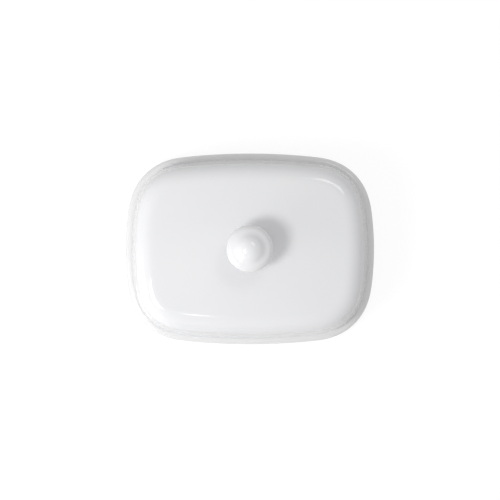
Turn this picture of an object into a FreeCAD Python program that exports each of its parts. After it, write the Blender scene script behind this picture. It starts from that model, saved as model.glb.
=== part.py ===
"""Butter dish in glazed porcelain: a shallow dish, and a loose lid with an onion-shaped knob.

Millimetres. +X runs along the length, +Y across the width and +Z up. The origin is in the middle of
the foot, on the surface that the dish stands on. Every outline in plan is the same rounded
rectangle with bowed sides, moved inwards by an inset that is measured from the dish's widest edge.
"""
import FreeCAD
import Part

import math
import os

import Sketcher
from FreeCAD import Vector

DIMENSIONS = [
    # Where insets and levels are counted from
    ("widest_edge", 0.0),
    ("ground", 0.0),
    # The widest outline in plan, at the dish's edge
    ("overall_length", 164.0),
    ("overall_width", 126.0),
    ("corner_radius", 37.0),
    ("end_bow_radius", 192.0),
    ("side_bow_radius", 410.0),
    # The dish
    ("edge_height", 6.0),
    ("edge_thickness", 7.0),
    ("edge_rounding", 3.4),
    ("underside_inset", 4.0),
    ("foot_inset", 21.0),
    ("foot_width", 4.0),
    ("foot_height", 2.2),
    ("foot_rounding", 0.9),
    ("floor_thickness", 5.0),
    ("well_rounding", 4.0),
    ("ridge_height", 2.5),
    ("ridge_width", 3.6),
    ("ridge_rounding", 1.0),
    # The lid, and how it sits on the dish
    ("lid_inset", 4.2),
    ("lid_clearance", 0.8),
    ("lid_height", 40.0),
    ("lid_wall", 4.0),
    ("lid_top_thickness", 4.0),
    ("lid_draft", 4.6),
    ("shoulder_radius", 11.0),
    ("lid_foot_rounding", 1.1),
    # The knob
    ("knob_height", 25.4),
    ("knob_diameter", 30.0),
    ("equator_height", 13.8),
    ("bulb_radius", 6.2),
    ("flank_radius", 11.4),
    ("tip_radius", 11.0),
    ("neck_diameter", 14.0),
    ("waist_radius", 4.0),
]

# Sizes that follow from the ones above
DERIVED = [
    ("seat_level", "=edge_height + edge_thickness"),
    ("ridge_level", "=seat_level + ridge_height"),
    ("floor_level", "=foot_height + floor_thickness"),
    ("recess_inset", "=foot_inset + foot_width"),
    ("cavity_inset", "=lid_inset + lid_wall"),
    ("ridge_inset", "=cavity_inset + lid_clearance"),
    ("well_inset", "=ridge_inset + ridge_width"),
    ("lid_top_inset", "=lid_inset + lid_draft"),
    ("lid_top_level", "=seat_level + lid_height"),
    ("cavity_height", "=lid_height - lid_top_thickness"),
    ("cavity_top_inset", "=cavity_inset + lid_draft"),
    ("cavity_rounding", "=shoulder_radius - lid_wall"),
]


def add_sheet(doc):
    """The spreadsheet that holds every size under a plain name."""
    sheet = doc.addObject("Spreadsheet::Sheet", "sizes")
    for row, (name, value) in enumerate(DIMENSIONS + DERIVED, start=1):
        sheet.set(f"A{row}", name)
        sheet.set(f"B{row}", str(value))
        sheet.setAlias(f"B{row}", name)
    doc.recompute()
    return sheet


def size(name):
    """A size of the sheet, as it is written in a formula."""
    return f"<<sizes>>.{name}"


def circles_meet(centre_a, radius_a, centre_b, radius_b):
    """The point where two circles meet, on the left of the way from centre_a to centre_b."""
    way = centre_b - centre_a
    distance = way.Length
    way.normalize()
    along = (radius_a**2 - radius_b**2 + distance**2) / (2 * distance)
    aside = math.sqrt(radius_a**2 - along**2)
    return centre_a + way * along + Vector(-way.y, way.x, 0) * aside


def arc_of(centre, radius, start, stop):
    """An arc in plan, anticlockwise between two directions in radians."""
    return Part.ArcOfCircle(Part.Circle(centre, Vector(0, 0, 1), radius), start, stop)


def angle_of(vector):
    """The direction of a vector in plan, in radians anticlockwise from +X."""
    return math.atan2(vector.y, vector.x)


class PlanOutline:
    """A rounded rectangle with bowed sides, made of eight arcs that run smoothly into each other.

    Moving the outline inwards keeps the centres of its arcs and shortens their radii.
    """

    def __init__(self, sheet):
        self.corner_radius = sheet.corner_radius
        self.end_radius = sheet.end_bow_radius
        self.side_radius = sheet.side_bow_radius
        self.end_centre = Vector(sheet.overall_length / 2 - self.end_radius, 0, 0)
        self.side_centre = Vector(0, sheet.overall_width / 2 - self.side_radius, 0)
        self.corner_centre = circles_meet(
            self.end_centre,
            self.end_radius - self.corner_radius,
            self.side_centre,
            self.side_radius - self.corner_radius,
        )
        self.end_angle = angle_of(self.corner_centre - self.end_centre)
        self.side_angle = angle_of(self.corner_centre - self.side_centre)

    def arcs(self, inset):
        """The eight arcs, anticlockwise from the end at +X."""
        end, side = self.end_angle, self.side_angle
        corner = self.corner_centre
        half_turn, full_turn = math.pi, 2 * math.pi
        pieces = [
            (self.end_centre, self.end_radius, -end, end),
            (corner, self.corner_radius, end, side),
            (self.side_centre, self.side_radius, side, half_turn - side),
            (Vector(-corner.x, corner.y, 0), self.corner_radius, half_turn - side, half_turn - end),
            (-self.end_centre, self.end_radius, half_turn - end, half_turn + end),
            (-corner, self.corner_radius, half_turn + end, half_turn + side),
            (-self.side_centre, self.side_radius, half_turn + side, full_turn - side),
            (Vector(corner.x, -corner.y, 0), self.corner_radius, full_turn - side, full_turn - end),
        ]
        return [arc_of(centre, radius - inset, start, stop) for centre, radius, start, stop in pieces]

    def inset_of(self, point):
        """How far inside the widest outline a point lies in plan."""
        place = Vector(abs(point.x), abs(point.y), 0)
        from_corner = place - self.corner_centre
        direction = angle_of(from_corner)
        if direction < self.end_angle:
            return self.end_radius - (place - self.end_centre).Length
        if direction > self.side_angle:
            return self.side_radius - (place - self.side_centre).Length
        return self.corner_radius - from_corner.Length


def origin_plane(body, role):
    """One of the planes through a body's own origin."""
    return next(part for part in body.Origin.OriginFeatures if part.Role == role)


def add_sketch(body, name, role):
    """An empty sketch on one of the body's own planes."""
    sketch = body.newObject("Sketcher::SketchObject", name)
    sketch.AttachmentSupport = [(origin_plane(body, role), "")]
    sketch.MapMode = "FlatFace"
    return sketch


def constrain(sketch, formula, *terms):
    """Add a dimension whose value follows a formula."""
    row = sketch.addConstraint(Sketcher.Constraint(*terms))
    sketch.setExpression(f"Constraints[{row}]", formula)


def outline_sketch(body, sheet, name, inset, level):
    """The plan outline at an inset and a level, each the name of a size in the sheet."""
    end, corner, side = 0, 1, 2
    other = 4
    first_point, last_point, centre = 1, 2, 3
    origin, x_axis, y_axis = (-1, 1), -1, -2
    sketch = add_sketch(body, name, "XY_Plane")
    sketch.setExpression("AttachmentOffset.Base.z", size(level))
    inset_now = getattr(sheet, inset)
    sketch.addGeometry(PlanOutline(sheet).arcs(inset_now), False)
    for arc in range(8):
        sketch.addConstraint(Sketcher.Constraint("Tangent", arc, last_point, (arc + 1) % 8, first_point))
    for arc in (3, 5, 7):
        sketch.addConstraint(Sketcher.Constraint("Equal", corner, arc))
    for arc, axis in ((end, x_axis), (side, y_axis)):
        sketch.addConstraint(Sketcher.Constraint("Equal", arc, arc + other))
        sketch.addConstraint(Sketcher.Constraint("PointOnObject", arc, centre, axis))
        sketch.addConstraint(Sketcher.Constraint("PointOnObject", arc + other, centre, axis))
    for arc, radius in ((end, "end_bow_radius"), (corner, "corner_radius"), (side, "side_bow_radius")):
        formula = f"{size(radius)} - {size(inset)}"
        constrain(sketch, formula, "Radius", arc, getattr(sheet, radius) - inset_now)
    for arc, along, radius, overall in (
        (end, "DistanceX", "end_bow_radius", "overall_length"),
        (side, "DistanceY", "side_bow_radius", "overall_width"),
    ):
        formula = f"{size(radius)} - {size(overall)} / 2"
        past_middle = getattr(sheet, radius) - getattr(sheet, overall) / 2
        constrain(sketch, formula, along, arc, centre, *origin, past_middle)
        constrain(sketch, formula, along, *origin, arc + other, centre, past_middle)
    return sketch


def add_pad(body, sheet, name, inset, level, height, widening="0"):
    """Raise the outline at an inset from a level by a height, wider by a distance at the top."""
    pad = body.newObject("PartDesign::Pad", name)
    pad.Profile = outline_sketch(body, sheet, name + "_outline", inset, level)
    pad.setExpression("Length", height)
    pad.setExpression("TaperAngle", f"atan(({widening}) / ({height}))")
    return pad


def add_pocket(body, sheet, name, inset, level, depth, upwards=False, narrowing="0"):
    """Cut the outline at an inset from a level, down or up, narrower by a distance at its end."""
    pocket = body.newObject("PartDesign::Pocket", name)
    pocket.Profile = outline_sketch(body, sheet, name + "_outline", inset, level)
    pocket.Reversed = upwards
    pocket.setExpression("Length", depth)
    pocket.setExpression("TaperAngle", f"-atan(({narrowing}) / ({depth}))")
    return pocket


def ring_edges(shape, outline, inset, level):
    """The names of the edges that follow the outline at an inset and a level."""
    near = 0.01
    found = []
    for number, edge in enumerate(shape.Edges, start=1):
        points = edge.discretize(3)
        if all(
            abs(point.z - level) < near and abs(outline.inset_of(point) - inset) < near
            for point in points
        ):
            found.append(f"Edge{number}")
    return found


def add_rounding(body, sheet, name, radius, *rings):
    """Round the rings of edges, each an inset and a level by name, with one radius."""
    body.Document.recompute()
    before = body.Tip
    outline = PlanOutline(sheet)
    edges = []
    for inset, level in rings:
        edges += ring_edges(before.Shape, outline, getattr(sheet, inset), getattr(sheet, level))
    fillet = body.newObject("PartDesign::Fillet", name)
    fillet.Base = (before, edges)
    fillet.setExpression("Radius", size(radius))
    return fillet


def make_dish(doc, sheet):
    """The dish: a thick rounded edge, a shallow underside, a foot ring, a seat and a ridge for the lid."""
    body = doc.addObject("PartDesign::Body", "dish")
    add_pad(body, sheet, "edge", "widest_edge", "edge_height", size("edge_thickness"))
    add_rounding(
        body, sheet, "edge_ends", "edge_rounding",
        ("widest_edge", "edge_height"), ("widest_edge", "seat_level"),
    )
    add_pad(
        body, sheet, "underside", "foot_inset", "foot_height",
        f"{size('edge_height')} - {size('foot_height')}",
        widening=f"{size('foot_inset')} - {size('underside_inset')}",
    )
    add_pad(body, sheet, "foot", "foot_inset", "ground", size("foot_height"))
    add_pad(body, sheet, "ridge", "ridge_inset", "seat_level", size("ridge_height"))
    add_pocket(
        body, sheet, "well", "well_inset", "ridge_level", f"{size('ridge_level')} - {size('floor_level')}",
    )
    add_pocket(body, sheet, "foot_recess", "recess_inset", "ground", size("foot_height"), upwards=True)
    add_rounding(
        body, sheet, "ridge_ends", "ridge_rounding",
        ("ridge_inset", "ridge_level"), ("well_inset", "ridge_level"),
    )
    add_rounding(body, sheet, "well_corner", "well_rounding", ("well_inset", "floor_level"))
    add_rounding(
        body, sheet, "foot_ends", "foot_rounding", ("foot_inset", "ground"), ("recess_inset", "ground"),
    )
    return body


def make_lid_shell(doc, sheet):
    """The lid without its knob: leaning walls, a round shoulder and a flat top, open underneath."""
    body = doc.addObject("PartDesign::Body", "lid_shell")
    body.setExpression("Placement.Base.z", size("seat_level"))
    draft = size("lid_draft")
    add_pad(body, sheet, "walls", "lid_inset", "ground", size("lid_height"), widening=f"-{draft}")
    add_rounding(body, sheet, "shoulder", "shoulder_radius", ("lid_top_inset", "lid_height"))
    add_pocket(
        body, sheet, "cavity", "cavity_inset", "ground", size("cavity_height"),
        upwards=True, narrowing=draft,
    )
    add_rounding(body, sheet, "cavity_corner", "cavity_rounding", ("cavity_top_inset", "cavity_height"))
    add_rounding(
        body, sheet, "wall_ends", "lid_foot_rounding", ("lid_inset", "ground"), ("cavity_inset", "ground"),
    )
    return body


def knob_outline(sheet):
    """Half of the knob's outline: its axis, then arcs for tip, flank, bulb and waist, then its base.

    The flank and the waist are hollow, so the centres of their arcs lie outside the knob.
    """
    tip_centre = Vector(0, sheet.knob_height - sheet.tip_radius, 0)
    bulb_centre = Vector(sheet.knob_diameter / 2 - sheet.bulb_radius, sheet.equator_height, 0)
    flank_centre = circles_meet(
        tip_centre, sheet.tip_radius + sheet.flank_radius,
        bulb_centre, sheet.bulb_radius + sheet.flank_radius,
    )
    waist_x = sheet.neck_diameter / 2 + sheet.waist_radius
    reach = sheet.bulb_radius + sheet.waist_radius
    drop = math.sqrt(reach**2 - (waist_x - bulb_centre.x) ** 2)
    waist_centre = Vector(waist_x, bulb_centre.y - drop, 0)
    base_radius = waist_x - math.sqrt(sheet.waist_radius**2 - waist_centre.y**2)
    base_edge = Vector(base_radius, 0, 0)

    up = Vector(0, 0, 1)
    tip_turn = angle_of(flank_centre - tip_centre)
    flank_turn = angle_of(flank_centre - bulb_centre)
    bulb_turn = angle_of(waist_centre - bulb_centre)
    return [
        Part.LineSegment(Vector(), Vector(0, sheet.knob_height, 0)),
        arc_of(tip_centre, sheet.tip_radius, tip_turn, math.pi / 2),
        arc_of(flank_centre, sheet.flank_radius, math.pi + tip_turn, math.pi + flank_turn),
        arc_of(bulb_centre, sheet.bulb_radius, bulb_turn, flank_turn),
        arc_of(waist_centre, sheet.waist_radius, math.pi + bulb_turn, angle_of(base_edge - waist_centre)),
        Part.LineSegment(base_edge, Vector()),
    ]


def make_knob(doc, sheet):
    """The knob: its half outline turned about its own axis, standing on the lid's flat top."""
    axis, tip, flank, bulb, waist, base = range(6)
    first_point, last_point, centre = 1, 2, 3
    origin, y_axis = (-1, 1), -2
    body = doc.addObject("PartDesign::Body", "knob")
    body.setExpression("Placement.Base.z", size("lid_top_level"))
    sketch = add_sketch(body, "knob_outline", "XZ_Plane")
    sketch.addGeometry(knob_outline(sheet), False)
    for terms in (
        ("Coincident", axis, first_point, *origin),
        ("Vertical", axis),
        ("Coincident", axis, last_point, tip, last_point),
        ("PointOnObject", tip, centre, y_axis),
        ("Tangent", tip, first_point, flank, first_point),
        ("Tangent", flank, last_point, bulb, last_point),
        ("Tangent", bulb, first_point, waist, first_point),
        ("Coincident", waist, last_point, base, first_point),
        ("Horizontal", base),
        ("Coincident", base, last_point, axis, first_point),
    ):
        sketch.addConstraint(Sketcher.Constraint(*terms))
    for arc, radius in (
        (tip, "tip_radius"), (flank, "flank_radius"), (bulb, "bulb_radius"), (waist, "waist_radius"),
    ):
        constrain(sketch, size(radius), "Radius", arc, getattr(sheet, radius))
    constrain(sketch, size("knob_height"), "DistanceY", axis, first_point, axis, last_point, sheet.knob_height)
    constrain(sketch, size("equator_height"), "DistanceY", *origin, bulb, centre, sheet.equator_height)
    constrain(
        sketch, f"{size('knob_diameter')} / 2 - {size('bulb_radius')}",
        "DistanceX", *origin, bulb, centre, sheet.knob_diameter / 2 - sheet.bulb_radius,
    )
    constrain(
        sketch, f"{size('neck_diameter')} / 2 + {size('waist_radius')}",
        "DistanceX", *origin, waist, centre, sheet.neck_diameter / 2 + sheet.waist_radius,
    )
    turned = body.newObject("PartDesign::Revolution", "turned")
    turned.Profile = sketch
    turned.ReferenceAxis = (sketch, ["V_Axis"])
    turned.Angle = 360
    return body


def check(doc, bodies):
    """Stop if any feature failed, cut nothing or left something other than one sound solid."""
    for item in doc.Objects:
        if "Invalid" in item.State or "Error" in item.State:
            raise RuntimeError(f"{item.Name} failed: {item.State}")
    for body in bodies:
        volume = 0.0
        for feature in body.Group:
            if not feature.isDerivedFrom("PartDesign::Feature"):
                continue
            if feature.isDerivedFrom("PartDesign::Pocket") and feature.Shape.Volume >= volume:
                raise RuntimeError(f"{feature.Name} cuts nothing from {body.Label}")
            volume = feature.Shape.Volume
        shape = body.Shape
        if shape.isNull() or not shape.isValid() or len(shape.Solids) != 1:
            raise RuntimeError(f"{body.Label} isn't one sound solid")


def main():
    doc = FreeCAD.newDocument("butter_dish")
    sheet = add_sheet(doc)
    bodies = [make_dish(doc, sheet), make_lid_shell(doc, sheet), make_knob(doc, sheet)]
    doc.recompute()
    check(doc, bodies)
    os.makedirs("parts", exist_ok=True)
    for body in bodies:
        body.Shape.exportStep(f"parts/{body.Label}.step")
        box = body.Shape.optimalBoundingBox()
        print(f"{body.Label}: {body.Shape.Volume:.0f} mm3, z {box.ZMin:.2f} to {box.ZMax:.2f}")


main()
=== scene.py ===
import math

import bpy
import numpy as np
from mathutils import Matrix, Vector, noise


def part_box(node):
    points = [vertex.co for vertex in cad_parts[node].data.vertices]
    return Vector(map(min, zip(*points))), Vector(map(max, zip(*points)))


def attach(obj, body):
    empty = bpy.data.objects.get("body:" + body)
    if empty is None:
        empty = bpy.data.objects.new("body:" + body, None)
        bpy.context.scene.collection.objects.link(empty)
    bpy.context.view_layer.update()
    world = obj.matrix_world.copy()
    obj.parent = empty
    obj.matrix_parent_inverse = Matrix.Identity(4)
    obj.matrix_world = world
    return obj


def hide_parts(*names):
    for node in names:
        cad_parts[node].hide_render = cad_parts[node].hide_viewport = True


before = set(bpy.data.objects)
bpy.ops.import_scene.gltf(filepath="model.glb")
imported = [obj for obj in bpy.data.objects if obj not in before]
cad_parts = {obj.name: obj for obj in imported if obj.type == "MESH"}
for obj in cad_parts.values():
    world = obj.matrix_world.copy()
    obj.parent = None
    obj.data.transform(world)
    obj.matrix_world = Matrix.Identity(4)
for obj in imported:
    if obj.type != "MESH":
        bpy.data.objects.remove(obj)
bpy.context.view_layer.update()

# Sizes in millimetres, as the design has them. Levels and overall sizes come from the CAD parts' boxes.
MM = 0.001
CORNER_RADIUS = 37.0
END_BOW_RADIUS = 192.0
SIDE_BOW_RADIUS = 410.0
EDGE_HEIGHT = 6.0
EDGE_ROUNDING = 3.4
UNDERSIDE_INSET = 4.0
UNDERSIDE_ROUNDING = 2.0
FOOT_INSET = 21.0
FOOT_WIDTH = 4.0
FOOT_HEIGHT = 2.2
FOOT_ROUNDING = 0.9
FLOOR_THICKNESS = 5.0
WELL_ROUNDING = 4.0
RIDGE_WIDTH = 3.6
RIDGE_ROUNDING = 1.0
SEAT_ROUNDING = 0.7
LID_INSET = 4.2
LID_WALL = 4.0
LID_TOP_THICKNESS = 4.0
LID_CLEARANCE = 0.8
LID_DRAFT = 4.6
SHOULDER_RADIUS = 11.0
TIP_RADIUS = 11.0
FLANK_RADIUS = 11.4
BULB_RADIUS = 6.2
EQUATOR_HEIGHT = 13.8
NECK_DIAMETER = 14.0
WAIST_RADIUS = 4.0

# What firing and glazing add to the design, in millimetres.
OUTLINE_EASING = 5.0
LID_CROWN = 1.0
LID_STRAY = 0.12
STRAY_LENGTH = 45.0
LID_FOOT_SOFTNESS = 0.7
ROOT_START = 216.0
ROOT_FILLET = 3.2
ROOT_DEPTH = 0.3
BARE_HEIGHT = 0.35
GLAZE_EDGE = 0.1
GLAZE_WANDER = 0.3

GLAZE_REACH = 1.2
GLAZE_TURN = 1.5

# How finely the meshes are cut. Steps along a section are in millimetres.
RING_POINTS = 256
KNOB_POINTS = 160
OUTLINE_POINTS = 4096
ARC_POINTS = 400
STEP = 2.0
TURN_STEP = math.radians(6)

# Colours of the glaze and of the bare clay.
GLAZE_COOL = (0.792, 0.794, 0.810, 1)
GLAZE_PALE = (0.806, 0.806, 0.818, 1)
GLAZE_THIN = (0.815, 0.805, 0.785, 1)
GLAZE_POOLED = (0.735, 0.768, 0.778, 1)
IRON_SPECK = (0.42, 0.38, 0.33, 1)
BISCUIT_DARK = (0.70, 0.685, 0.65, 1)
BISCUIT_PALE = (0.78, 0.77, 0.745, 1)

# The view, in metres: straight down, with the dish's length taking up a share of the picture's width.
CAMERA_DISTANCE = 1.5
OUTLINE_LEVEL = 0.0095
VIEW_OFFSET = -0.00076
DISH_SHARE_OF_VIEW = 0.4958
LIGHTS_AIM = (0, 0, 0.03)


def box_mm(node):
    """A CAD node's lowest and highest corners, in millimetres."""
    low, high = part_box(node)
    return low / MM, high / MM


# ---------------------------------------------------------------- outlines in plan

def circles_meet(centre_a, radius_a, centre_b, radius_b):
    """The point where two circles meet, on the left of the way from centre_a to centre_b."""
    way = centre_b - centre_a
    distance = abs(way)
    way /= distance
    along = (radius_a**2 - radius_b**2 + distance**2) / (2 * distance)
    return centre_a + way * (along + 1j * math.sqrt(radius_a**2 - along**2))


def arc(centre, radius, start, stop, steps):
    """Points on an arc in the complex plane, between two angles in radians."""
    return centre + radius * np.exp(1j * np.linspace(start, stop, steps + 1))


def dish_outline(count):
    """The dish's widest outline, as points and outward normals in the complex plane.

    It starts as the design's eight arcs. Clay doesn't change its curvature at once, so the
    changes are then eased over a few millimetres, and the overall sizes are put back.
    """
    half_length, half_width = box_mm("dish")[1].xy
    end_centre = complex(half_length - END_BOW_RADIUS, 0)
    side_centre = complex(0, half_width - SIDE_BOW_RADIUS)
    corner_centre = circles_meet(
        end_centre, END_BOW_RADIUS - CORNER_RADIUS, side_centre, SIDE_BOW_RADIUS - CORNER_RADIUS,
    )
    end_angle = np.angle(corner_centre - end_centre)
    side_angle = np.angle(corner_centre - side_centre)
    quarter = np.concatenate([
        arc(end_centre, END_BOW_RADIUS, 0, end_angle, ARC_POINTS)[:-1],
        arc(corner_centre, CORNER_RADIUS, end_angle, side_angle, ARC_POINTS)[:-1],
        arc(side_centre, SIDE_BOW_RADIUS, side_angle, math.pi / 2, ARC_POINTS),
    ])
    half = np.concatenate([quarter, -np.conj(quarter[-2:0:-1])])
    closed = np.concatenate([half, -half, half[:1]])

    travelled = np.concatenate([[0], np.cumsum(np.abs(np.diff(closed)))])
    perimeter = travelled[-1]
    even = np.linspace(0, perimeter, OUTLINE_POINTS, endpoint=False)
    curve = np.interp(even, travelled, closed.real) + 1j * np.interp(even, travelled, closed.imag)
    waves = 2 * math.pi * np.fft.fftfreq(len(curve), d=perimeter / len(curve))
    curve = np.fft.ifft(np.fft.fft(curve) * np.exp(-((waves * OUTLINE_EASING) ** 2) / 2))
    curve = curve.real * half_length / curve.real.max() + 1j * curve.imag * half_width / curve.imag.max()
    tangent = np.fft.ifft(np.fft.fft(curve) * 1j * waves)
    normal = -1j * tangent / np.abs(tangent)
    pick = np.linspace(0, len(curve), count, endpoint=False).astype(int)
    return curve[pick], normal[pick]


def round_outline(count, radius):
    """A circle, as points and outward normals in the complex plane."""
    normal = np.exp(1j * np.linspace(0, 2 * math.pi, count, endpoint=False))
    return radius * normal, normal


# ---------------------------------------------------------------- sections

def corner_curve(corner, back, ahead, radius, ease):
    """A rounding of a corner between two directions.

    With no ease it is an arc. With full ease its curvature swells and fades, and it cuts the
    corner as deeply as the arc would.
    """
    turn = np.angle(-ahead / back)
    steps = 2 * max(3, math.ceil(abs(turn) / TURN_STEP))
    fine = np.linspace(0, 1, 32 * steps + 1)
    heading = turn * ((1 - ease) * fine + ease * fine**2 * (3 - 2 * fine))
    middles = (heading[1:] + heading[:-1]) / 2
    curve = np.concatenate([[0], np.cumsum(np.exp(1j * middles))])
    reach = abs(curve[-1]) / (2 * math.cos(turn / 2))
    depth = abs(reach - curve[len(curve) // 2])
    scale = radius * (1 / math.cos(turn / 2) - 1) / depth
    return corner - back * (curve[::32] - reach) * scale


def rounded(corners):
    """A section through corners given as (out, up, rounding, ease), in steps no longer than STEP.

    The points are complex: out, and up. The first and the last corner are the section's ends.
    """
    places = [complex(out, up) for out, up, rounding, ease in corners]
    points = [places[0]]
    for before, here, after, (out, up, rounding, ease) in zip(places, places[1:], places[2:], corners[1:]):
        back = (before - here) / abs(before - here)
        ahead = (after - here) / abs(after - here)
        points += list(corner_curve(here, back, ahead, rounding, ease))
    points.append(places[-1])
    return filled(points)


def filled(points):
    """The same line with its long stretches cut into steps."""
    result = [points[0]]
    for point in points[1:]:
        gap = point - result[-1]
        steps = math.ceil(abs(gap) / STEP)
        result += [result[-1] + gap * (number + 1) / steps for number in range(steps)]
    return np.array(result)


def glaze_depth(section):
    """How deep the glaze lies along a section: 0 on sharp edges, 0.5 on flats, 1 in hollows.

    A point where the section turns at once is a seam, and holds no glaze.
    """
    gaps = np.abs(np.diff(section))
    turns = np.angle(section[2:] - section[1:-1]) - np.angle(section[1:-1] - section[:-2])
    turns = (turns + math.pi) % (2 * math.pi) - math.pi
    turns[np.abs(turns) > 1] = 0
    travelled = np.concatenate([[0], np.cumsum(gaps)])
    apart = (travelled[:, None] - travelled[None, 1:-1]) / GLAZE_REACH
    bend = (np.exp(-apart**2 / 2) * turns).sum(axis=1)
    return 0.5 + 0.5 * np.tanh(bend / GLAZE_TURN)


# ---------------------------------------------------------------- meshes

def ring_faces(count, ring_count):
    """Faces between rings of points, and fans that close the first and the last ring."""
    along = np.arange(count)
    after = (along + 1) % count
    faces = []
    for ring in range(ring_count - 1):
        low, high = ring * count, (ring + 1) * count
        faces += np.column_stack([low + along, high + along, high + after, low + after]).tolist()
    last = (ring_count - 1) * count
    first_middle = ring_count * count
    last_middle = first_middle + 1
    faces += [[first_middle, int(a), int(b)] for a, b in zip(along, after)]
    faces += [[last_middle, int(last + b), int(last + a)] for a, b in zip(along, after)]
    return faces


def make_mesh(name, outline, section, first_cap, last_cap, shape=None):
    """Carry a section round an outline, and close it across the middle at both its ends.

    The section's points are complex: out from the outline, and up. Each cap is how many rings
    close that end. shape(vertices), if given, moves the finished points.
    """
    points, normals = outline
    depths = glaze_depth(section)
    first_edge = points + normals * section[0].real
    last_edge = points + normals * section[-1].real
    rings = [(first_edge * n / (first_cap + 1), section[0].imag, 0.5) for n in range(1, first_cap + 1)]
    rings += [(points + normals * s.real, s.imag, depth) for s, depth in zip(section, depths)]
    rings += [(last_edge * n / (last_cap + 1), section[-1].imag, 0.5) for n in range(last_cap, 0, -1)]

    count = len(points)
    vertices = [np.column_stack([ring.real, ring.imag, np.full(count, up)]) for ring, up, depth in rings]
    vertices = np.concatenate(vertices + [[[0, 0, section[0].imag], [0, 0, section[-1].imag]]])
    if shape is not None:
        vertices = shape(vertices)

    mesh = bpy.data.meshes.new(name)
    mesh.from_pydata((vertices * MM).tolist(), [], ring_faces(count, len(rings)))
    mesh.update()
    mesh.shade_smooth()
    depth_layer = mesh.attributes.new("glaze_depth", "FLOAT", "POINT")
    values = np.concatenate([np.repeat([depth for ring, up, depth in rings], count), [0.5, 0.5]])
    depth_layer.data.foreach_set("value", values)
    piece = bpy.data.objects.new(name, mesh)
    bpy.context.scene.collection.objects.link(piece)
    return piece


def dish_mesh():
    """The dish, from the middle of its well over the ridge and the edge to the middle of its back."""
    seat, ridge_level = box_mm("lid_shell")[0].z, box_mm("dish")[1].z
    floor = FOOT_HEIGHT + FLOOR_THICKNESS
    ridge = -LID_INSET - LID_WALL - LID_CLEARANCE
    well = ridge - RIDGE_WIDTH
    recess = -FOOT_INSET - FOOT_WIDTH
    section = rounded([
        (well - 3 * WELL_ROUNDING, floor, 0, 0),
        (well, floor, WELL_ROUNDING, 1),
        (well, ridge_level, RIDGE_ROUNDING, 0),
        (ridge, ridge_level, RIDGE_ROUNDING, 0),
        (ridge, seat, SEAT_ROUNDING, 0),
        (0, seat, EDGE_ROUNDING, 0),
        (0, EDGE_HEIGHT, EDGE_ROUNDING, 0),
        (-UNDERSIDE_INSET, EDGE_HEIGHT, UNDERSIDE_ROUNDING, 0),
        (-FOOT_INSET, FOOT_HEIGHT, FOOT_ROUNDING, 0),
        (-FOOT_INSET, 0, FOOT_ROUNDING, 0),
        (recess, 0, FOOT_ROUNDING, 0),
        (recess, FOOT_HEIGHT, FOOT_ROUNDING, 0),
        (recess - FOOT_WIDTH, FOOT_HEIGHT, 0, 0),
    ])
    return make_mesh("dish_glazed", dish_outline(RING_POINTS), section, 14, 12)


def lid_shell_mesh():
    """The lid's top, shoulder and walls, its foot, and its hollow inside."""
    foot, top = box_mm("lid_shell")[0].z, box_mm("lid_shell")[1].z
    ceiling = top - LID_TOP_THICKNESS
    outer_top = -LID_INSET - LID_DRAFT
    section = rounded([
        (outer_top - 2 * SHOULDER_RADIUS, top, 0, 0),
        (outer_top, top, SHOULDER_RADIUS, 1),
        (-LID_INSET, foot, LID_FOOT_SOFTNESS, 0),
        (-LID_INSET - LID_WALL, foot, LID_FOOT_SOFTNESS, 0),
        (outer_top - LID_WALL, ceiling, SHOULDER_RADIUS - LID_WALL, 1),
        (outer_top - 2 * SHOULDER_RADIUS, ceiling, 0, 0),
    ])

    def fired(vertices):
        """The kiln domes the top a little and lets the walls stray inwards, but the foot stays true."""
        half_length, half_width = box_mm("lid_shell")[1].xy
        reach = (vertices[:, 0] / half_length) ** 2 + (vertices[:, 1] / half_width) ** 2
        height = (vertices[:, 2] - foot) / (top - foot)
        lift = height**2 * (3 - 2 * height)
        stray = [noise.noise(Vector(vertex) / STRAY_LENGTH) for vertex in vertices]
        inward = LID_STRAY * (1 + np.array(stray)) / 2 * lift
        distance = np.hypot(vertices[:, 0], vertices[:, 1])
        share = np.where(distance > 1, 1 - inward / np.maximum(distance, 1), 1)
        moved = vertices * np.column_stack([share, share, np.ones(len(share))])
        moved[:, 2] -= LID_CROWN * np.minimum(reach, 1.5) * lift
        return moved

    return make_mesh("lid_shell_glazed", dish_outline(RING_POINTS), section, 16, 16, fired)


def knob_mesh():
    """The knob: tip, flank, bulb and waist, with the glaze drawn out round its root."""
    low, high = box_mm("knob")
    radius, height = high.x, high.z - low.z
    tip = complex(0, height - TIP_RADIUS)
    bulb = complex(radius - BULB_RADIUS, EQUATOR_HEIGHT)
    flank = circles_meet(tip, TIP_RADIUS + FLANK_RADIUS, bulb, BULB_RADIUS + FLANK_RADIUS)
    waist_out = NECK_DIAMETER / 2 + WAIST_RADIUS
    waist_drop = math.sqrt((BULB_RADIUS + WAIST_RADIUS) ** 2 - (waist_out - bulb.real) ** 2)
    waist = complex(waist_out, bulb.imag - waist_drop)

    tip_end = np.angle(flank - tip)
    bulb_start = np.angle(flank - bulb)
    bulb_end = np.angle(waist - bulb)
    waist_end = math.radians(ROOT_START)
    root = waist + WAIST_RADIUS * np.exp(1j * waist_end)
    heading = 1j * np.exp(1j * waist_end)
    corner = root - heading * root.imag / heading.imag
    profile = filled(np.concatenate([
        arc(tip, TIP_RADIUS, math.pi / 2 - 0.02, tip_end, 16),
        arc(flank, FLANK_RADIUS, tip_end + math.pi, bulb_start + math.pi, 10)[1:],
        arc(bulb, BULB_RADIUS, bulb_start, bulb_end, 40)[1:],
        arc(waist, WAIST_RADIUS, bulb_end + math.pi, waist_end, 20)[1:],
        corner_curve(corner, -heading, complex(1, 0), ROOT_FILLET, 0),
    ]))
    profile = np.append(profile, profile[-1] - 1j * ROOT_DEPTH)
    section = profile - radius + 1j * low.z
    return make_mesh("knob_glazed", round_outline(KNOB_POINTS, radius), section, 0, 3)


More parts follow.
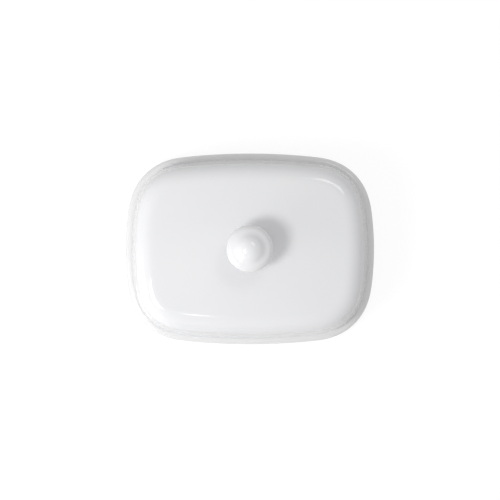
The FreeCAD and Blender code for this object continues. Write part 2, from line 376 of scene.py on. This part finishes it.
# ---------------------------------------------------------------- materials

class Surface:
    """A material's node tree, with short ways to add and join nodes."""

    def __init__(self, name):
        self.material = bpy.data.materials.new(name)
        self.material.use_nodes = True
        self.tree = self.material.node_tree
        self.shader = self.tree.nodes["Principled BSDF"]

    def put(self, socket, value):
        """Set an input to a number or a colour, or join another node's output to it."""
        if isinstance(value, bpy.types.NodeSocket):
            self.tree.links.new(value, socket)
        else:
            socket.default_value = value

    def add(self, kind, inputs, **settings):
        node = self.tree.nodes.new("ShaderNode" + kind)
        for setting, value in settings.items():
            setattr(node, setting, value)
        sockets = {socket.name: socket for socket in node.inputs if socket.enabled}
        for name, value in inputs.items():
            self.put(sockets[name], value)
        return node

    def noise(self, place, scale, detail):
        inputs = {"Vector": place, "Scale": scale, "Detail": detail}
        return self.add("TexNoise", inputs).outputs["Fac"]

    def spread(self, value, low, high, new_low, new_high):
        """Carry a value from one range to another, and hold it at the ends."""
        inputs = {"Value": value, "From Min": low, "From Max": high, "To Min": new_low, "To Max": new_high}
        return self.add("MapRange", inputs).outputs["Result"]

    def math(self, operation, first, second):
        node = self.tree.nodes.new("ShaderNodeMath")
        node.operation = operation
        self.put(node.inputs[0], first)
        self.put(node.inputs[1], second)
        return node.outputs[0]

    def mix(self, share, first, second, kind="RGBA"):
        node = self.add("Mix", {"Factor": share, "A": first, "B": second}, data_type=kind)
        return next(output for output in node.outputs if output.enabled)


def dots(surface, place, scale, size, share):
    """Small round dots, scattered: how much of a dot each point is, from 0 to 1."""
    cells = surface.add("TexVoronoi", {"Vector": place, "Scale": scale})
    lots = surface.add("SeparateColor", {"Color": cells.outputs["Color"]}).outputs["Red"]
    chosen = surface.math("LESS_THAN", lots, share)
    near = surface.spread(cells.outputs["Distance"], size * scale * 0.5, size * scale, 1, 0)
    return surface.math("MULTIPLY", near, chosen)


def glaze_colour(surface, place):
    """White with slow clouds, warmer where the glaze is thin, blue-green where it pools, and specks."""
    depth = surface.add("Attribute", {}, attribute_name="glaze_depth").outputs["Fac"]
    clouds = surface.spread(surface.noise(place, 24, 3), 0.35, 0.65, 0, 1)
    colour = surface.mix(clouds, GLAZE_COOL, GLAZE_PALE)
    thin = surface.spread(depth, 0.05, 0.4, 1, 0)
    colour = surface.mix(thin, colour, GLAZE_THIN)
    pooled = surface.spread(depth, 0.55, 0.9, 0, 1)
    colour = surface.mix(pooled, colour, GLAZE_POOLED)
    specks = dots(surface, place, 75, 0.00022, 0.35)
    return surface.mix(surface.math("MULTIPLY", specks, 0.5), colour, IRON_SPECK)


def glaze_relief(surface, place):
    """The glaze's waves, its fine orange peel and its pinholes, in metres."""
    ripple = surface.math("MULTIPLY", surface.noise(place, 55, 1), 0.010 * MM)
    peel = surface.math("MULTIPLY", surface.noise(place, 330, 2), 0.0006 * MM)
    pinholes = surface.math("MULTIPLY", dots(surface, place, 110, 0.00018, 0.25), -0.03 * MM)
    return surface.math("ADD", surface.math("ADD", ripple, peel), pinholes)


def bare_share(surface, place, bare_below):
    """1 on the bare clay and 0 on the glaze, with a wandering edge between them."""
    height = surface.add("SeparateXYZ", {"Vector": place}).outputs["Z"]
    wander = surface.math("MULTIPLY", surface.noise(place, 160, 2), GLAZE_WANDER * MM)
    above = surface.math("ADD", height, wander)
    return surface.spread(above, (bare_below - GLAZE_EDGE) * MM, bare_below * MM, 1, 0)


def porcelain(name, bare_below):
    """White porcelain in clear glaze, bare below a height in millimetres, where it stood in the kiln."""
    surface = Surface(name)
    place = surface.add("TexCoord", {}).outputs["Object"]
    bare = bare_share(surface, place, bare_below)
    grain = surface.noise(place, 1500, 5)
    biscuit = surface.mix(surface.spread(grain, 0.3, 0.7, 0, 1), BISCUIT_DARK, BISCUIT_PALE)
    colour = surface.mix(bare, glaze_colour(surface, place), biscuit)

    gloss = surface.spread(surface.noise(place, 38, 4), 0.3, 0.7, 0.07, 0.12)
    roughness = surface.mix(bare, gloss, 0.62, "FLOAT")

    glazed = surface.math("ADD", glaze_relief(surface, place), 0.02 * MM)
    unglazed = surface.math("MULTIPLY", grain, 0.03 * MM)
    relief = surface.mix(bare, glazed, unglazed, "FLOAT")
    bump = surface.add("Bump", {"Height": relief, "Distance": 1.0, "Strength": 1.0})

    surface.put(surface.shader.inputs["Base Color"], colour)
    surface.put(surface.shader.inputs["Roughness"], roughness)
    surface.put(surface.shader.inputs["Normal"], bump.outputs["Normal"])
    surface.shader.inputs["IOR"].default_value = 1.5
    return surface.material


# ---------------------------------------------------------------- stage

def area_light(name, place, width, height, watts):
    """A rectangular lamp at a place, turned towards the dish."""
    lamp = bpy.data.lights.new(name, "AREA")
    lamp.shape = "RECTANGLE"
    lamp.size = width
    lamp.size_y = height
    lamp.energy = watts
    lamp_object = bpy.data.objects.new(name, lamp)
    lamp_object.location = place
    lamp_object.rotation_euler = (Vector(LIGHTS_AIM) - place).to_track_quat("-Z", "Y").to_euler()
    bpy.context.scene.collection.objects.link(lamp_object)


def from_above(azimuth, elevation, distance):
    """A place in the room: azimuth anticlockwise from +X, and height above the horizon, in degrees."""
    a, e = math.radians(azimuth), math.radians(elevation)
    return Vector((math.cos(a) * math.cos(e), math.sin(a) * math.cos(e), math.sin(e))) * distance


def make_floor():
    """A pale sheet. The camera sees it mostly overexposed to white, as the studio shot it."""
    half = 3.0
    mesh = bpy.data.meshes.new("floor")
    corners = [(-half, -half, 0), (half, -half, 0), (half, half, 0), (-half, half, 0)]
    mesh.from_pydata(corners, [], [(0, 1, 2, 3)])
    floor = bpy.data.objects.new("floor", mesh)
    bpy.context.scene.collection.objects.link(floor)
    surface = Surface("floor")
    surface.shader.inputs["Base Color"].default_value = (0.8, 0.8, 0.8, 1)
    surface.shader.inputs["Roughness"].default_value = 0.9
    surface.shader.inputs["Specular IOR Level"].default_value = 0.1
    white = surface.add("Emission", {"Color": (1, 1, 1, 1), "Strength": 1.1})
    seen = surface.add("LightPath", {}).outputs["Is Camera Ray"]
    share = surface.math("MULTIPLY", seen, 0.8)
    mixed = surface.tree.nodes.new("ShaderNodeMixShader")
    surface.put(mixed.inputs[0], share)
    surface.put(mixed.inputs[1], surface.shader.outputs[0])
    surface.put(mixed.inputs[2], white.outputs[0])
    surface.put(surface.tree.nodes["Material Output"].inputs["Surface"], mixed.outputs[0])
    mesh.materials.append(surface.material)


def make_room():
    world = bpy.data.worlds.new("room")
    bpy.context.scene.world = world
    world.use_nodes = True
    background = world.node_tree.nodes["Background"]
    background.inputs["Color"].default_value = (1, 1, 1, 1)
    background.inputs["Strength"].default_value = 0.54
    bpy.context.scene.view_settings.view_transform = "Standard"


def make_camera():
    low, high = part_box("dish")
    width_of_view = (high.x - low.x) / DISH_SHARE_OF_VIEW
    camera = bpy.data.cameras.new("camera")
    camera.lens = camera.sensor_width * CAMERA_DISTANCE / width_of_view
    camera_object = bpy.data.objects.new("camera", camera)
    camera_object.location = (0, VIEW_OFFSET, OUTLINE_LEVEL + CAMERA_DISTANCE)
    bpy.context.scene.collection.objects.link(camera_object)
    bpy.context.scene.camera = camera_object


make_room()
make_floor()
area_light("key", from_above(208, 56, 0.6), 0.16, 0.16, 1.3)
area_light("fill", from_above(56, 54, 0.9), 0.36, 0.18, 0.7)
area_light("lamp", from_above(246.5, 75, 0.67), 0.02, 0.02, 0.035)
area_light("front", from_above(209, 12, 2.5), 2.4, 1.3, 24)
make_camera()

dish_porcelain = porcelain("dish_porcelain", BARE_HEIGHT)
lid_porcelain = porcelain("lid_porcelain", box_mm("lid_shell")[0].z + BARE_HEIGHT)
pieces = [
    (dish_mesh(), dish_porcelain, "dish", "dish"),
    (lid_shell_mesh(), lid_porcelain, "lid", "lid_shell"),
    (knob_mesh(), lid_porcelain, "lid", "knob"),
]
for piece, material, body, node in pieces:
    piece.data.materials.append(material)
    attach(piece, body)
    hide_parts(node)
